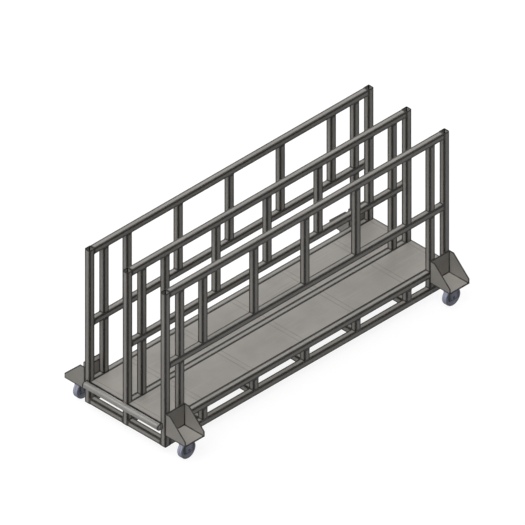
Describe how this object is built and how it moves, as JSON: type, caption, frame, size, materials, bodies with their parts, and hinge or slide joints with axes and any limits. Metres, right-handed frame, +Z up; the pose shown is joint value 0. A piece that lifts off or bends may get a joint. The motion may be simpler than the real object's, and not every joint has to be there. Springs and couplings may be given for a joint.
{
  "type": "mobile panel rack",
  "caption": "Long welded square-tube rack with upright ladder frames, open bays over steel decks, swivel casters on outrigger brackets and a loading roller across one end.",
  "frame": {"origin": "on the floor, under the middle of the whole outline", "axes": "+X along the length, away from the loading roller; +Y across, from the front frame to the rear frame; +Z up"},
  "size_m": [3.444, 1.44, 1.655],
  "materials": {
    "frame_tube": "satin",
    "deck_sheet": "satin, scuffed",
    "bracket_plate": "satin",
    "caster_steel": "blue-grey zinc plate",
    "tyre": "satin blue-grey polyurethane",
    "wheel_hub": "satin",
    "fastener": "dark zinc plate",
    "roller_steel": "worn steel",
    "roller_plug": "matte"
  },
  "bodies": {
    "frame": {"front_posts": "frame_tube", "front_bottom_rail": "frame_tube", "front_deck_rail": "frame_tube", "front_mid_rail": "frame_tube", "front_top_rail": "frame_tube", "front_upper_studs": "frame_tube", "front_stub_posts": "frame_tube", "middle_posts": "frame_tube", "middle_bottom_rail": "frame_tube", "middle_deck_rail": "frame_tube", "middle_mid_rail": "frame_tube", "middle_top_rail": "frame_tube", "middle_upper_studs": "frame_tube", "middle_stub_posts": "frame_tube", "rear_posts": "frame_tube", "rear_bottom_rail": "frame_tube", "rear_deck_rail": "frame_tube", "rear_mid_rail": "frame_tube", "rear_top_rail": "frame_tube", "rear_upper_studs": "frame_tube", "rear_stub_posts": "frame_tube", "lower_studs": "frame_tube", "bottom_cross_tubes": "frame_tube", "deck_cross_tubes": "frame_tube", "bottom_end_tubes": "frame_tube", "deck_end_tubes": "frame_tube", "front_deck_sheet": "deck_sheet", "rear_deck_sheet": "deck_sheet", "bracket_back_plates": "bracket_plate", "bracket_base_plates": "bracket_plate", "bracket_cheeks": "bracket_plate", "caster_top_plates": "caster_steel", "caster_bolts": "fastener", "kingpins": "fastener", "swivel_balls": "fastener", "roller_axle": "fastener", "roller_end_plates": "bracket_plate"},
    "front_roller_end_caster": {"front_roller_end_fork": "caster_steel", "front_roller_end_axle": "fastener"},
    "front_roller_end_wheel": {"front_roller_end_tyre": "tyre", "front_roller_end_hub": "wheel_hub", "front_roller_end_wheel_bearings": "fastener"},
    "front_far_end_caster": {"front_far_end_fork": "caster_steel", "front_far_end_axle": "fastener"},
    "front_far_end_wheel": {"front_far_end_tyre": "tyre", "front_far_end_hub": "wheel_hub", "front_far_end_wheel_bearings": "fastener"},
    "rear_roller_end_caster": {"rear_roller_end_fork": "caster_steel", "rear_roller_end_axle": "fastener"},
    "rear_roller_end_wheel": {"rear_roller_end_tyre": "tyre", "rear_roller_end_hub": "wheel_hub", "rear_roller_end_wheel_bearings": "fastener"},
    "rear_far_end_caster": {"rear_far_end_fork": "caster_steel", "rear_far_end_axle": "fastener"},
    "rear_far_end_wheel": {"rear_far_end_tyre": "tyre", "rear_far_end_hub": "wheel_hub", "rear_far_end_wheel_bearings": "fastener"},
    "roller": {"roller_tube": "roller_steel", "roller_bearing_plugs": "roller_plug"}
  },
  "joints": [
    {"name": "front_roller_end_swivel", "type": "hinge", "parent": "frame", "child": "front_roller_end_caster", "pos_m": [-1.508, -0.6205, 0.1915], "axis": [0, 0, 1], "continuous": true},
    {"name": "front_roller_end_wheel_spin", "type": "hinge", "parent": "front_roller_end_caster", "child": "front_roller_end_wheel", "pos_m": [-1.548, -0.6205, 0.0875], "axis": [0, 1, 0], "continuous": true},
    {"name": "front_far_end_swivel", "type": "hinge", "parent": "frame", "child": "front_far_end_caster", "pos_m": [1.642, -0.6205, 0.1915], "axis": [0, 0, 1], "continuous": true},
    {"name": "front_far_end_wheel_spin", "type": "hinge", "parent": "front_far_end_caster", "child": "front_far_end_wheel", "pos_m": [1.602, -0.6205, 0.0875], "axis": [0, 1, 0], "continuous": true},
    {"name": "rear_roller_end_swivel", "type": "hinge", "parent": "frame", "child": "rear_roller_end_caster", "pos_m": [-1.508, 0.6205, 0.1915], "axis": [0, 0, 1], "continuous": true},
    {"name": "rear_roller_end_wheel_spin", "type": "hinge", "parent": "rear_roller_end_caster", "child": "rear_roller_end_wheel", "pos_m": [-1.548, 0.6205, 0.0875], "axis": [0, 1, 0], "continuous": true},
    {"name": "rear_far_end_swivel", "type": "hinge", "parent": "frame", "child": "rear_far_end_caster", "pos_m": [1.642, 0.6205, 0.1915], "axis": [0, 0, 1], "continuous": true},
    {"name": "rear_far_end_wheel_spin", "type": "hinge", "parent": "rear_far_end_caster", "child": "rear_far_end_wheel", "pos_m": [1.602, 0.6205, 0.0875], "axis": [0, 1, 0], "continuous": true},
    {"name": "roller_spin", "type": "hinge", "parent": "frame", "child": "roller", "pos_m": [-1.692, 0, 0.289], "axis": [0, 1, 0], "continuous": true}
  ]
}
